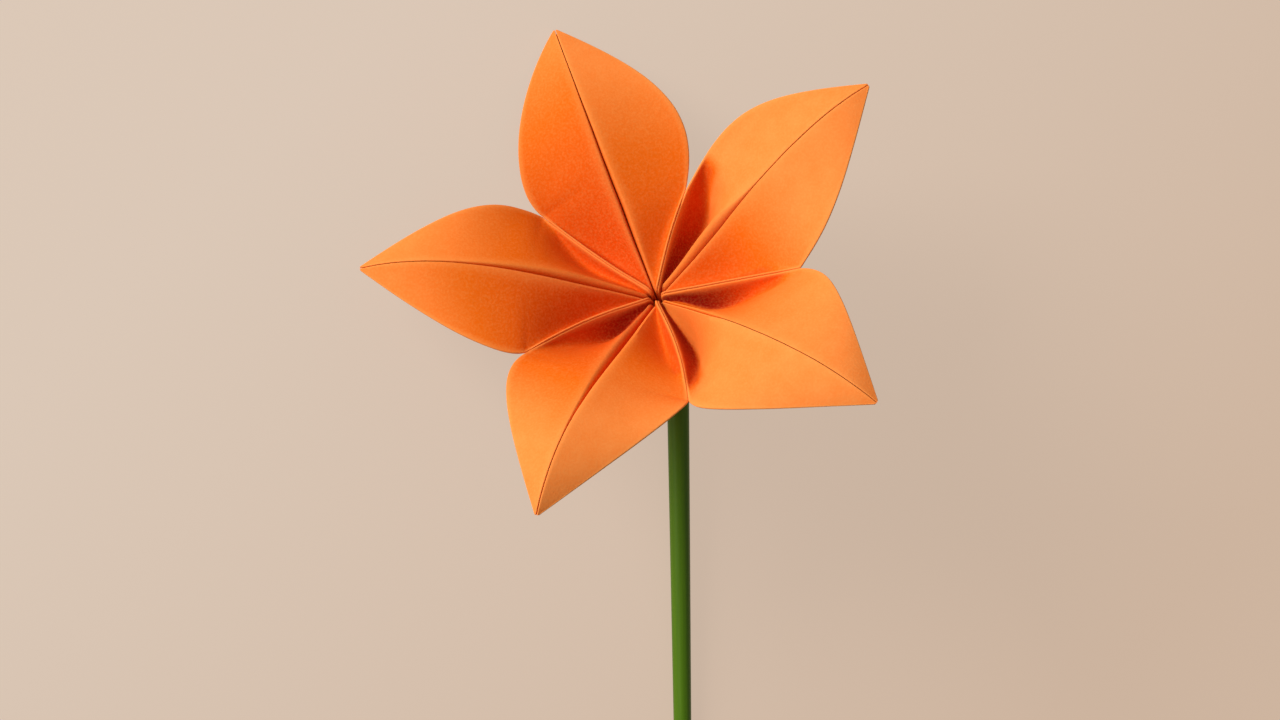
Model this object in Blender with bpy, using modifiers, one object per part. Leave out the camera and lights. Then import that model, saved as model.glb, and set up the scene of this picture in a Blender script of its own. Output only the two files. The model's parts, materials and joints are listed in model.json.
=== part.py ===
"""Folded paper lily: five petals, each one folded square of paper, on a green stem.

The flower lies on a table, on its stem and on the backs of its petals. The stem runs along
-Y and the flower opens upwards and away from it. Metres, +Z up.

A petal is drawn in its own frame: X is the reach from the flower's axis, Y goes sideways and
Z is the height above the throat. A share of -1 to 0 runs from the gathered base up to the
throat, and 0 to 1 from the throat out to the tip.
"""
import math
from collections import namedtuple

import bpy
from mathutils import Matrix, Vector

# Paper
PAPER = 0.00024              # thickness of the coloured paper
FOLD_RADIUS = 0.0003         # of the middle of the paper, where it turns back on itself
SLIT = 0.0003                # between the two raw edges that meet along a petal's seam
CLEARANCE = 0.0003           # between two pieces that touch

# Seam, where the two folded flaps of a petal meet
THROAT_REACH = 0.0026
PETAL_LENGTH = 0.0612        # straight from the throat to the tip
PETAL_RISE = 18.5            # degrees, of that straight line above the flower's plane
SEAM_START = 14.0            # degrees, how much steeper the seam leaves the throat
SEAM_END = -39.0             # degrees, how far it has turned over at the tip
TIP_STOP = 0.985             # share of the seam at which the folded tip ends
BASE_DEPTH = 0.0090          # from the throat down to the petals' gathered ends
BASE_SEAM_REACH = 0.0016

# Keel, the middle of a petal's back
BASE_KEEL_REACH = 0.0040
KEEL_THROAT_REACH = 0.0066
KEEL_THROAT_DEPTH = 0.0058
KEEL_START = -9.0            # degrees, against the seam's own start
KEEL_END = 4.0               # degrees, against the seam's own end
KEEL_TIP_DEPTH = 0.0010

# Ridge between two petals, where their folded sides stand back to back
RIDGE_THROAT_REACH = 0.0026
RIDGE_THROAT_HEIGHT = 0.0012
BASE_RIDGE_REACH = 0.0032
RIDGE_REACH = 0.0300         # from the axis to the notch at the ridge's end
RIDGE_HEIGHT = 0.0085        # of the notch above the throat
WALL_DEPTH = 0.0125          # steers the foot of the wall beside a ridge
WALL_PEAK = 0.45             # share of the ridge at which its walls are deepest
WALL_STOP = 1.15             # share of the ridge at which they have run out
THROAT_WALL = 0.30           # share of the depth that they have at the throat
BASE_WALL = 0.08             # and at the gathered base
BACK_GAP = 0.0028            # extra depth of the petal's back under that foot
FLAP_CUP = 0.0010            # hollow of a flap, past the notch
LIE_START = 0.75             # share of the ridge at which the fold starts to lie down
LIE_END = 1.35               # and at which it lies flat
CORNER_DROP = 0.0015         # of a side's corner below the seam

# Handles of the curves across a petal, as shares of the way between their ends
FLAT_HANDLE = 0.35           # from the fold towards the seam or keel, where the fold lies flat
SHOULDER_HANDLE = 0.62       # from the seam's lip towards the foot of the wall
BELLY_WIDTH = 0.62           # of the rounded back, against the half width of the petal
BELLY_RISE = 0.06            # of the rounded back, against that same half width, before the tip

# How each folded petal differs from its fellows: turn and lift in degrees, extra length in
# metres, and what its seam adds to the start and end angles. left and right give the corner
# that each side would have if it weren't rounded (reach and half width), how far the rounded
# edge runs into that corner, from 0 to 1, and the share of the wall's depth on that side.
Petal = namedtuple("Petal", "turn lift extra start end left right")
PETALS = (
    Petal(1.8, -1.4, 0.0, 0.0, 1.0,
          left=(0.0368, 0.0265, 0.52, 0.35), right=(0.0340, 0.0247, 0.78, 0.2)),
    Petal(1.2, 0.2, -0.0002, -8.5, 9.0,
          left=(0.0383, 0.0189, 0.87, 1.15), right=(0.0376, 0.0180, 0.87, 0.35)),
    Petal(-0.7, -1.8, 0.0007, 3.0, -4.0,
          left=(0.0359, 0.0197, 0.93, 0.8), right=(0.0317, 0.0205, 0.93, 0.9)),
    Petal(0.9, 0.3, 0.0011, -0.5, -8.5,
          left=(0.0303, 0.0204, 0.66, 0.5), right=(0.0325, 0.0213, 0.81, 0.75)),
    Petal(1.2, 3.3, -0.0008, 5.5, 1.0,
          left=(0.0312, 0.0223, 0.63, 0.35), right=(0.0349, 0.0188, 0.82, 0.5)),
)

# The ridge on the right of each petal: extra reach and lift of its notch, and its sideways bow
Ridge = namedtuple("Ridge", "extra lift bow")
RIDGES = (
    Ridge(-0.0070, -0.0021, 0.0005),
    Ridge(0.0022, -0.0002, 0.0),
    Ridge(0.0013, 0.0005, 0.0012),
    Ridge(0.0, 0.0029, -0.0012),
    Ridge(-0.0006, -0.0017, 0.0005),
)

# Stem
STEM_TOP_DIAMETER = 0.0050
STEM_END_DIAMETER = 0.0028
STEM_LENGTH = 0.160          # straight run, from the bend's corner to the cut end
STEM_BEND_RADIUS = 0.014
NECK_LENGTH = 0.0249         # from the throat, down the flower's axis, to the bend's corner

# Pose on the table
FLOWER_NOD = 28.2            # degrees, of the flower's axis from square to the stem
FLOWER_SPIN = 111.0          # degrees, of the first petal about the flower's axis
MOST_ROLL = -60.0            # degrees, further than the flower can roll about its stem
ROLL_TRIES = 20

# Fineness
STATIONS = 13
BASE_STATIONS = 3
THROAT_CROWDING = 1.1        # above 1, the stations lie closer together near the throat
FLAP_STEPS = (0.0, 0.24, 0.46, 0.66, 0.82, 0.92, 1.0)
BACK_STEPS = (0.12, 0.30, 0.52, 0.76)
FOLD_STEPS = (60.0, 120.0)
BEND_STEPS = 10

SECTOR = 2 * math.pi / len(PETALS)
FOLD_OFFSET = FOLD_RADIUS * math.cos(SECTOR / 2) + (PAPER + CLEARANCE) / 2


def clear_scene():
    for item in list(bpy.data.objects):
        bpy.data.objects.remove(item, do_unlink=True)


def new_collection(name):
    group = bpy.data.collections.new(name)
    bpy.context.scene.collection.children.link(group)
    return group


def new_material(name, colour, roughness):
    material = bpy.data.materials.new(name)
    material.use_nodes = True
    shader = material.node_tree.nodes["Principled BSDF"]
    shader.inputs["Base Color"].default_value = (*colour, 1.0)
    shader.inputs["Roughness"].default_value = roughness
    shader.inputs["Metallic"].default_value = 0.0
    return material


def cubic(start, first, second, end, share):
    """Point on a cubic Bezier curve."""
    rest = 1.0 - share
    near = start * rest ** 3 + first * (3 * share * rest ** 2)
    return near + second * (3 * share ** 2 * rest) + end * share ** 3


def smooth_step(low, high, value):
    share = min(max((value - low) / (high - low), 0.0), 1.0)
    return share * share * (3 - 2 * share)


def heading(degrees):
    """Direction in the petal's upright plane, at an angle above the flower's plane."""
    angle = math.radians(degrees)
    return Vector((math.cos(angle), 0.0, math.sin(angle)))


def petal_tip(index):
    petal = PETALS[index]
    rise = heading(PETAL_RISE + petal.lift)
    return Vector((THROAT_REACH, 0.0, 0.0)) + rise * (PETAL_LENGTH + petal.extra)


def seam_angles(index):
    """Angles at which the seam leaves the throat and arrives at the tip, in degrees."""
    petal = PETALS[index]
    rise = PETAL_RISE + petal.lift
    return rise + SEAM_START + petal.start, rise + SEAM_END + petal.end


def arch(start, leave, arrive, end, share):
    """Curve between two points, with the directions that it leaves and arrives in."""
    handle = (end - start).length / 3
    return cubic(start, start + leave * handle, end - arrive * handle, end, share)


def seam_point(index, share):
    leave, arrive = seam_angles(index)
    throat = Vector((THROAT_REACH, 0.0, 0.0))
    if share >= 0.0:
        return arch(throat, heading(leave), heading(arrive), petal_tip(index), share)
    base = Vector((BASE_SEAM_REACH, 0.0, -BASE_DEPTH))
    return arch(base, heading(90.0), heading(leave), throat, 1.0 + share)


def keel_point(index, share):
    leave, arrive = seam_angles(index)
    leave = heading(leave + KEEL_START)
    throat = Vector((KEEL_THROAT_REACH, 0.0, -KEEL_THROAT_DEPTH))
    if share >= 0.0:
        end = petal_tip(index) - heading(arrive + 90.0) * KEEL_TIP_DEPTH
        return arch(throat, leave, heading(arrive + KEEL_END), end, share)
    base = Vector((BASE_KEEL_REACH, 0.0, -BASE_DEPTH))
    return arch(base, heading(90.0), leave, throat, 1.0 + share)


def ridge_point(index, side, share):
    """Middle of the fold that runs along the ridge on one side of a petal."""
    ridge = RIDGES[index - 1 if side > 0 else index]
    throat = Vector((RIDGE_THROAT_REACH, 0.0, RIDGE_THROAT_HEIGHT))
    end = Vector((RIDGE_REACH + ridge.extra, 0.0, RIDGE_HEIGHT + ridge.lift))
    along = (end - throat).normalized()
    bow = 0.0
    if share >= 0.0:
        point = throat.lerp(end, share)
        bow = ridge.bow * math.sin(math.pi * share)
    else:
        base = Vector((BASE_RIDGE_REACH, 0.0, -BASE_DEPTH))
        point = arch(base, heading(90.0), along, throat, 1.0 + share)
    turn = side * SECTOR / 2 - math.radians(PETALS[index].turn)
    point.y = bow - side * FOLD_OFFSET
    return Matrix.Rotation(turn, 3, "Z") @ point


def edge_point(index, side, share):
    """The folded side of a petal: along the ridge to the notch, then round to the tip."""
    notch = ridge_point(index, side, 1.0)
    tip = petal_tip(index)
    notch_share = notch.x / tip.x
    if share <= notch_share:
        return ridge_point(index, side, share / notch_share if share > 0.0 else share)
    reach, half_width, pull, _ = PETALS[index].left if side > 0 else PETALS[index].right
    height = seam_point(index, reach / tip.x).z - CORNER_DROP
    corner = Vector((reach, side * half_width, height))
    run = (share - notch_share) / (1.0 - notch_share)
    return cubic(notch, notch.lerp(corner, pull), tip.lerp(corner, pull), tip, run)


def wall_depth(index, side, ridge_share):
    """Depth of the wall beside a ridge: shallow at the throat, deepest midway, none at last."""
    most = WALL_DEPTH * (PETALS[index].left if side > 0 else PETALS[index].right)[-1]
    if ridge_share < 0.0:
        share = BASE_WALL + (THROAT_WALL - BASE_WALL) * (1.0 + ridge_share)
    elif ridge_share < WALL_PEAK:
        share = THROAT_WALL + (1.0 - THROAT_WALL) * smooth_step(0.0, WALL_PEAK, ridge_share)
    else:
        share = 1.0 - smooth_step(WALL_PEAK, WALL_STOP, ridge_share)
    return most * share


def half_section(index, side, share):
    """Points of one half of a petal at a station, from the seam over the fold to the keel."""
    seam = seam_point(index, share)
    keel = keel_point(index, share)
    inward = (keel - seam).normalized()
    out = Vector((0.0, side, 0.0))
    notch_share = ridge_point(index, side, 1.0).x / petal_tip(index).x
    ridge_share = share / notch_share if share > 0.0 else share
    lie = smooth_step(LIE_START, LIE_END, ridge_share)
    depth = wall_depth(index, side, ridge_share)

    edge = edge_point(index, side, share)
    lean = lie * math.pi / 2
    across = out * math.cos(lean) + inward * math.sin(lean)
    bulge = out * math.sin(lean) - inward * math.cos(lean)
    front_edge = edge - across * FOLD_RADIUS
    back_edge = edge + across * FOLD_RADIUS

    lip = seam + out * (SLIT / 2)
    flat = front_edge.lerp(lip, FLAT_HANDLE) + inward * FLAP_CUP
    foot = (front_edge + inward * depth).lerp(flat, lie)
    shoulder = lip.lerp(foot, SHOULDER_HANDLE)
    points = [cubic(lip, shoulder, foot, front_edge, step) for step in FLAP_STEPS]

    for step in FOLD_STEPS:
        angle = math.radians(step)
        turned = bulge * math.sin(angle) - across * math.cos(angle)
        points.append(edge + turned * FOLD_RADIUS)

    back_flat = back_edge.lerp(keel, FLAT_HANDLE) + inward * (FLAP_CUP / 2)
    back_foot = (back_edge + inward * (depth + BACK_GAP)).lerp(back_flat, lie)
    half_width = abs(edge.y)
    rise = BELLY_RISE * (1.0 - lie) * half_width
    belly = keel + out * (BELLY_WIDTH * half_width) - inward * rise
    points.append(back_edge)
    points += [cubic(back_edge, back_foot, belly, keel, step) for step in BACK_STEPS]
    return points


def petal_shares():
    shares = [step / BASE_STATIONS - 1.0 for step in range(BASE_STATIONS)]
    last = STATIONS - 1
    return shares + [TIP_STOP * (step / last) ** THROAT_CROWDING for step in range(STATIONS)]


def make_petal(index, material, group, flower):
    """One folded square: a strip of sections, from one lip round the back to the other."""
    shares = petal_shares()
    points = []
    for share in shares:
        left = half_section(index, 1, share)
        right = half_section(index, -1, share)
        points += left + [keel_point(index, share)] + right[::-1]
    row = len(points) // len(shares)
    faces = []
    for station in range(len(shares) - 1):
        for step in range(row - 1):
            corner = station * row + step
            faces.append((corner, corner + 1, corner + row + 1, corner + row))
    mesh = bpy.data.meshes.new(f"petal_{index + 1}")
    mesh.from_pydata(points, [], faces)
    mesh.shade_smooth()
    mesh.materials.append(material)
    petal = bpy.data.objects.new(mesh.name, mesh)
    group.objects.link(petal)
    petal.parent = flower
    petal.rotation_euler.z = math.radians(FLOWER_SPIN + PETALS[index].turn) - index * SECTOR
    sheet = petal.modifiers.new("paper", "SOLIDIFY")
    sheet.thickness = PAPER
    sheet.offset = 0.0
    return petal


def stem_radius(run):
    """Radius at a distance from the bend's corner, along the straight run."""
    share = min(max(run / STEM_LENGTH, 0.0), 1.0)
    return (STEM_TOP_DIAMETER + (STEM_END_DIAMETER - STEM_TOP_DIAMETER) * share) / 2


def make_stem(corner, axis, material, group):
    """Straight on the table, then bent up into the flower's axis, under the petals."""
    top = corner + axis * (NECK_LENGTH - BASE_DEPTH - CLEARANCE)
    run_out = Vector((0.0, -STEM_LENGTH, stem_radius(STEM_LENGTH) - stem_radius(0.0)))
    end = corner + run_out
    down = run_out.normalized()
    turn = down.angle(axis)
    tangent = STEM_BEND_RADIUS / math.tan(turn / 2)
    middle = corner + (down + axis).normalized() * (STEM_BEND_RADIUS / math.sin(turn / 2))
    bend_start = corner + down * tangent - middle
    bend_end = corner + axis * tangent - middle
    sweep = bend_start.angle(bend_end)

    halfway = corner.lerp(end, 0.5)
    route = [(end, stem_radius(STEM_LENGTH)), (halfway, stem_radius(STEM_LENGTH / 2))]
    for step in range(BEND_STEPS + 1):
        share = step / BEND_STEPS
        arm = bend_start * math.sin((1 - share) * sweep) + bend_end * math.sin(share * sweep)
        route.append((middle + arm / math.sin(sweep), stem_radius(tangent)))
    route.append((top, stem_radius(tangent)))

    curve = bpy.data.curves.new("stem", "CURVE")
    curve.dimensions = "3D"
    curve.bevel_depth = 1.0
    curve.bevel_resolution = 6
    curve.use_fill_caps = True
    spline = curve.splines.new("POLY")
    spline.points.add(len(route) - 1)
    for point, (place, radius) in zip(spline.points, route):
        point.co = (*place, 1.0)
        point.radius = radius
    curve.materials.append(material)
    stem = bpy.data.objects.new("stem", curve)
    group.objects.link(stem)
    return stem


def flower_axis(roll):
    """Direction in which the flower opens, after it has rolled about the stem."""
    nod = math.radians(FLOWER_NOD)
    upright = Vector((0.0, math.sin(nod), math.cos(nod)))
    return Matrix.Rotation(roll, 3, "Y") @ upright


def place_flower(flower, roll):
    corner = Vector((0.0, 0.0, stem_radius(0.0)))
    flower.location = corner + flower_axis(roll) * NECK_LENGTH
    tilt = Matrix.Rotation(-math.radians(FLOWER_NOD), 3, "X")
    flower.rotation_euler = (Matrix.Rotation(roll, 3, "Y") @ tilt).to_euler()
    bpy.context.view_layer.update()
    return corner


def corners(objects):
    """Lowest and highest corner of some objects, as they lie."""
    graph = bpy.context.evaluated_depsgraph_get()
    points = []
    for item in objects:
        body = item.evaluated_get(graph)
        place = body.matrix_world
        points += [place @ vertex.co for vertex in body.to_mesh().vertices]
    low = Vector([min(point[axis] for point in points) for axis in range(3)])
    high = Vector([max(point[axis] for point in points) for axis in range(3)])
    return low, high


def lay_down(flower, petals):
    """Roll the flower about its stem until a petal meets the table."""
    upright, rolled = 0.0, math.radians(MOST_ROLL)
    for _ in range(ROLL_TRIES):
        roll = (upright + rolled) / 2
        corner = place_flower(flower, roll)
        if corners(petals)[0].z > 0.0:
            upright = roll
        else:
            rolled = roll
    return corner, roll


def centre_on_table(flower, petals, stem):
    """Bring the middle of the whole lily's footprint to the origin."""
    low, high = corners(petals + [stem])
    middle = (low + high) / 2
    for item in (flower, stem):
        item.location.x -= middle.x
        item.location.y -= middle.y


def main():
    clear_scene()
    group = new_collection("origami_lily")
    orange = new_material("orange paper", (0.95, 0.27, 0.035), 0.75)
    green = new_material("green stem", (0.09, 0.21, 0.02), 0.5)

    flower = bpy.data.objects.new("flower_head", None)
    group.objects.link(flower)
    petals = [make_petal(index, orange, group, flower) for index in range(len(PETALS))]
    corner, roll = lay_down(flower, petals)
    stem = make_stem(corner, flower_axis(roll), green, group)
    bpy.context.view_layer.update()
    centre_on_table(flower, petals, stem)


main()
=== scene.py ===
# %% [markdown]
# # A folded paper lily, lying on a table
# Five squares of orange craft paper are each folded to a petal, glued side by side round a
# throat, and set on a green stem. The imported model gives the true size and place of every
# piece, and this lesson makes the finished surfaces around it. Lengths are in metres.

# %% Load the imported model
import json
import math

import bpy
from mathutils import Matrix, Vector


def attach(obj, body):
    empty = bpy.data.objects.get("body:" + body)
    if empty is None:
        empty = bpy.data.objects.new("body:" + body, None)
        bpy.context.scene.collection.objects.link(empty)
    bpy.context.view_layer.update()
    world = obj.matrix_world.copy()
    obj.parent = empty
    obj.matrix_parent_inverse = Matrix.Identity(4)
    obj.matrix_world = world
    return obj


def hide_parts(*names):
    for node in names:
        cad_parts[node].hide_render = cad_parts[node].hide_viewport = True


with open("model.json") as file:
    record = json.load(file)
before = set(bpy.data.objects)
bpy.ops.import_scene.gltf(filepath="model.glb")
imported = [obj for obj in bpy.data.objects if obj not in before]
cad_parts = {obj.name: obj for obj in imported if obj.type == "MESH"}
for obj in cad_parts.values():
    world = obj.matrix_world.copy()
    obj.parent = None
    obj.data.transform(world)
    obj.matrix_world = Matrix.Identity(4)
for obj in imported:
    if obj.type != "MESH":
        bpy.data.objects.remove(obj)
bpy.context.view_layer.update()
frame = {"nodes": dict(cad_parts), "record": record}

print("packed nodes:", sorted(frame["nodes"]))

# %% [markdown]
# ## The sizes of the folded paper
# A maker would give these with a ruler and a protractor: how long a petal is, how steeply it
# leaves the throat, how deep the walls beside a ridge stand. The large sizes are those that
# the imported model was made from, so the fine surfaces lie where the plain ones did. Only the
# paper is thinner here, its folds are sharper and its seams narrower, as on the real thing.

# %% Paper, seam, back and ridge
PAPER = 0.0002
FOLD_RADIUS = 0.00016
SLIT = 0.00033
GLUE_LINE = 0.00005

THROAT_REACH = 0.0026
PETAL_LENGTH = 0.0612
PETAL_RISE = 18.5
SEAM_START = 14.0
SEAM_END = -39.0
TIP_STOP = 0.9965
BASE_DEPTH = 0.0090
BASE_SEAM_REACH = 0.0016

BASE_KEEL_REACH = 0.0040
KEEL_THROAT_REACH = 0.0066
KEEL_THROAT_DEPTH = 0.0058
KEEL_START = -9.0
KEEL_END = 4.0
KEEL_TIP_DEPTH = 0.0010

RIDGE_THROAT_REACH = 0.0026
RIDGE_THROAT_HEIGHT = 0.0012
BASE_RIDGE_REACH = 0.0032
RIDGE_REACH = 0.0300
RIDGE_HEIGHT = 0.0085
WALL_DEPTH = 0.0125
THROAT_WALL = 0.30
BASE_WALL = 0.08
BACK_GAP = 0.0028
FLAP_CUP = 0.0010
LIE_BEFORE = 0.40
LIE_PAST = 0.20
CORNER_DROP = 0.0015

FLAT_HANDLE = 0.35
SHOULDER_HANDLE = 0.62
BELLY_WIDTH = 0.62
BELLY_RISE = 0.06

STEM_TOP_DIAMETER = 0.0050
STEM_END_DIAMETER = 0.0028
STEM_LENGTH = 0.160
STEM_BEND_RADIUS = 0.014
NECK_LENGTH = 0.0249
FLOWER_NOD = math.radians(28.2)
FLOWER_SPIN = math.radians(111.0)
FLOWER_ROLL = math.radians(-30.4131)
print("a petal is about", round(PETAL_LENGTH * 1000, 1), "mm long")

# %% [markdown]
# Nobody folds five petals quite alike. Each row says how one petal differs from the plain
# sizes above: its turn and lift in degrees, its extra length, the bend of its seam and where
# that seam has closed. Each side has five things of its own. Its corner is given by where it
# would be if it weren't rounded and how far the side runs into it. Its wall has a share of
# the full depth, the place along the ridge where it is deepest, and the place where it ends.
# Its raw edge rolls in by a share of the full roll. A painted shade darkens its orange towards
# the throat, by some strength and from some way out, and a painted dark red shade, in the same
# way, fills the pocket at its foot.
# A ridge may run further out than the plain one, end higher up, and bow to one side.

# %% Five petals and the ridges between them
PETALS = (
    dict(turn=1.8, lift=-1.4, extra=0.0, start=0.0, end=1.0, closed=0.85,
         left=dict(corner=(0.0368, 0.0265, 0.52), wall=(0.35, 0.45, 1.15), roll=0.45,
                   deep=(1.0, 1.25), pocket=(0.1, 0.6)),
         right=dict(corner=(0.0340, 0.0247, 0.78), wall=(0.2, 0.45, 1.15), roll=0.75,
                    deep=(0.7, 1.0), pocket=(0.1, 0.6))),
    dict(turn=1.2, lift=0.2, extra=-0.0002, start=-8.5, end=9.0, closed=0.5,
         left=dict(corner=(0.0383, 0.0189, 0.87), wall=(1.15, 0.7, 1.5), roll=1.5,
                   deep=(0.4, 0.45), pocket=(1.0, 1.25)),
         right=dict(corner=(0.0376, 0.0180, 0.87), wall=(0.35, 0.45, 1.15), roll=0.6,
                    deep=(0.85, 0.6), pocket=(0.15, 0.6))),
    dict(turn=-0.7, lift=-1.8, extra=0.0007, start=3.0, end=-4.0, closed=0.35,
         left=dict(corner=(0.0359, 0.0197, 0.93), wall=(0.8, 0.3, 1.15), roll=0.25,
                   deep=(0.5, 0.65), pocket=(1.0, 0.75)),
         right=dict(corner=(0.0317, 0.0205, 0.93), wall=(0.9, 0.34, 1.1), roll=0.25,
                    deep=(0.2, 0.5), pocket=(1.0, 1.25))),
    dict(turn=0.9, lift=0.3, extra=0.0011, start=-0.5, end=-8.5, closed=0.75,
         left=dict(corner=(0.0303, 0.0204, 0.66), wall=(0.5, 0.35, 1.0), roll=1.0,
                   deep=(0.65, 0.7), pocket=(0.1, 1.0)),
         right=dict(corner=(0.0325, 0.0213, 0.81), wall=(0.75, 0.27, 1.15), roll=1.0,
                    deep=(1.0, 0.85), pocket=(0.95, 0.6))),
    dict(turn=1.2, lift=3.3, extra=-0.0008, start=5.5, end=1.0, closed=0.75,
         left=dict(corner=(0.0312, 0.0223, 0.63), wall=(0.35, 0.45, 1.15), roll=0.9,
                   deep=(1.0, 1.15), pocket=(0.15, 0.7)),
         right=dict(corner=(0.0349, 0.0188, 0.82), wall=(0.5, 0.5, 1.15), roll=0.9,
                    deep=(0.8, 1.0), pocket=(0.05, 0.8))),
)
RIDGES = (
    dict(extra=-0.0070, lift=-0.0021, bow=0.0005),
    dict(extra=0.0022, lift=-0.0002, bow=0.0),
    dict(extra=0.0013, lift=0.0005, bow=0.0012),
    dict(extra=0.0, lift=0.0029, bow=-0.0012),
    dict(extra=-0.0006, lift=-0.0017, bow=0.0005),
)
SECTOR = 2 * math.pi / len(PETALS)
FOLD_OFFSET = FOLD_RADIUS * math.cos(SECTOR / 2) + (PAPER + GLUE_LINE) / 2
print(len(PETALS), "petals,", round(math.degrees(SECTOR)), "degrees apart")

# %% [markdown]
# ## Where the flower sits
# The stem lies along the table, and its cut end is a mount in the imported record. From there
# the stem's bend, the flower's axis and each petal's place follow. The flower's own Z is its
# axis. It nods forward from the stem and has rolled over until one petal touches the table.

# %% The flower's place
STEM_END = Vector(frame["record"]["mounts"][0]["pos_m"])
BEND_CORNER = Vector((STEM_END.x, STEM_END.y + STEM_LENGTH, STEM_TOP_DIAMETER / 2))
ROLLED = Matrix.Rotation(FLOWER_ROLL, 4, "Y")
FLOWER_AXIS = ROLLED @ Vector((0.0, math.sin(FLOWER_NOD), math.cos(FLOWER_NOD)))
THROAT = BEND_CORNER + FLOWER_AXIS * NECK_LENGTH
FLOWER = Matrix.Translation(THROAT) @ ROLLED @ Matrix.Rotation(-FLOWER_NOD, 4, "X")
print("throat at", [round(value, 4) for value in THROAT])

# %% [markdown]
# ## Curves that shape a petal
# A petal is a loft, a sheet drawn between four rails: the seam on top, the keel along its
# back, and a folded edge on either side. Each rail is a cubic Bezier curve or two, because a
# crease in stiff paper bends in one smooth sweep. A share of -1 to 0 runs from the gathered
# base to the throat, and 0 to 1 from the throat to the tip.


# %% Bezier curves and headings
def cubic(start, first, second, end, share):
    rest = 1.0 - share
    near = start * rest ** 3 + first * (3 * share * rest ** 2)
    return near + second * (3 * share ** 2 * rest) + end * share ** 3


def smooth_step(low, high, value):
    share = min(max((value - low) / (high - low), 0.0), 1.0)
    return share * share * (3 - 2 * share)


def heading(degrees):
    angle = math.radians(degrees)
    return Vector((math.cos(angle), 0.0, math.sin(angle)))


def arch(start, leave, arrive, end, share):
    handle = (end - start).length / 3
    return cubic(start, start + leave * handle, end - arrive * handle, end, share)


print("a smooth step at its quarters:", [smooth_step(0, 1, v / 4) for v in range(5)])

# %% [markdown]
# The seam is the line where the two raw edges meet, along the middle of the petal. It leaves
# the throat steeply, arches over and comes down to the tip. The keel runs along the back,
# which is hardly ever seen, so it is kept simple: below the seam, deep at the throat and
# shallow at the tip.


# %% The seam and the keel
def petal_tip(petal):
    rise = heading(PETAL_RISE + petal["lift"])
    return Vector((THROAT_REACH, 0.0, 0.0)) + rise * (PETAL_LENGTH + petal["extra"])


def seam_angles(petal):
    rise = PETAL_RISE + petal["lift"]
    return rise + SEAM_START + petal["start"], rise + SEAM_END + petal["end"]


def seam_point(petal, share):
    leave, arrive = seam_angles(petal)
    throat = Vector((THROAT_REACH, 0.0, 0.0))
    if share >= 0.0:
        return arch(throat, heading(leave), heading(arrive), petal_tip(petal), share)
    base = Vector((BASE_SEAM_REACH, 0.0, -BASE_DEPTH))
    return arch(base, heading(90.0), heading(leave), throat, 1.0 + share)


def keel_point(petal, share):
    leave, arrive = seam_angles(petal)
    leave = heading(leave + KEEL_START)
    throat = Vector((KEEL_THROAT_REACH, 0.0, -KEEL_THROAT_DEPTH))
    if share >= 0.0:
        end = petal_tip(petal) - heading(arrive + 90.0) * KEEL_TIP_DEPTH
        return arch(throat, leave, heading(arrive + KEEL_END), end, share)
    base = Vector((BASE_KEEL_REACH, 0.0, -BASE_DEPTH))
    return arch(base, heading(90.0), leave, throat, 1.0 + share)


print("tip of the first petal:", [round(value, 4) for value in petal_tip(PETALS[0])])

# %% [markdown]
# The folded side of a petal first follows the ridge that it shares with its neighbour. Both
# folds start clear of the surface between them by half the glue line. The fold with the
# deeper wall is then tucked a little under the other one and up against it, so that a ridge
# shows one clean line and no gap. The tuck ends at the notch, and past it the side swings
# round a rounded corner and runs to the tip.


# %% The folded sides
TUCK = 0.0004
TUCK_SLIDE = 0.00018
TUCK_FADES = 0.8


def side_of(index, side):
    return PETALS[index % len(PETALS)]["left" if side > 0 else "right"]


def ridge_point(index, side, share):
    ridge = RIDGES[index - 1 if side > 0 else index]
    throat = Vector((RIDGE_THROAT_REACH, 0.0, RIDGE_THROAT_HEIGHT))
    end = Vector((RIDGE_REACH + ridge["extra"], 0.0, RIDGE_HEIGHT + ridge["lift"]))
    along = (end - throat).normalized()
    bow = 0.0
    if share >= 0.0:
        point = throat.lerp(end, share)
        bow = ridge["bow"] * math.sin(math.pi * share)
    else:
        base = Vector((BASE_RIDGE_REACH, 0.0, -BASE_DEPTH))
        point = arch(base, heading(90.0), along, throat, 1.0 + share)
    turn = side * SECTOR / 2 - math.radians(PETALS[index]["turn"])
    tucked = side_of(index, side)["wall"][0] > side_of(index - side, -side)["wall"][0]
    below = 1.0 - smooth_step(TUCK_FADES, 1.0, share) if tucked else 0.0
    point.y = bow - side * (FOLD_OFFSET - TUCK_SLIDE * below)
    point.z -= TUCK * below
    return Matrix.Rotation(turn, 3, "Z") @ point


def edge_point(index, side, share):
    petal = PETALS[index]
    notch = ridge_point(index, side, 1.0)
    tip = petal_tip(petal)
    notch_share = notch.x / tip.x
    if share <= notch_share:
        return ridge_point(index, side, share / notch_share if share > 0.0 else share)
    reach, half_width, pull = side_of(index, side)["corner"]
    height = seam_point(petal, reach / tip.x).z - CORNER_DROP
    corner = Vector((reach, side * half_width, height))
    run = (share - notch_share) / (1.0 - notch_share)
    return cubic(notch, notch.lerp(corner, pull), tip.lerp(corner, pull), tip, run)


def wall_depth(index, side, ridge_share):
    most, peak, stop = side_of(index, side)["wall"]
    if ridge_share < 0.0:
        share = BASE_WALL + (THROAT_WALL - BASE_WALL) * (1.0 + ridge_share)
    elif ridge_share < peak:
        share = THROAT_WALL + (1.0 - THROAT_WALL) * smooth_step(0.0, peak, ridge_share)
    else:
        share = 1.0 - smooth_step(peak, stop, ridge_share)
    return WALL_DEPTH * most * share


print("its left notch:", [round(value, 4) for value in ridge_point(0, 1, 1.0)])
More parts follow.
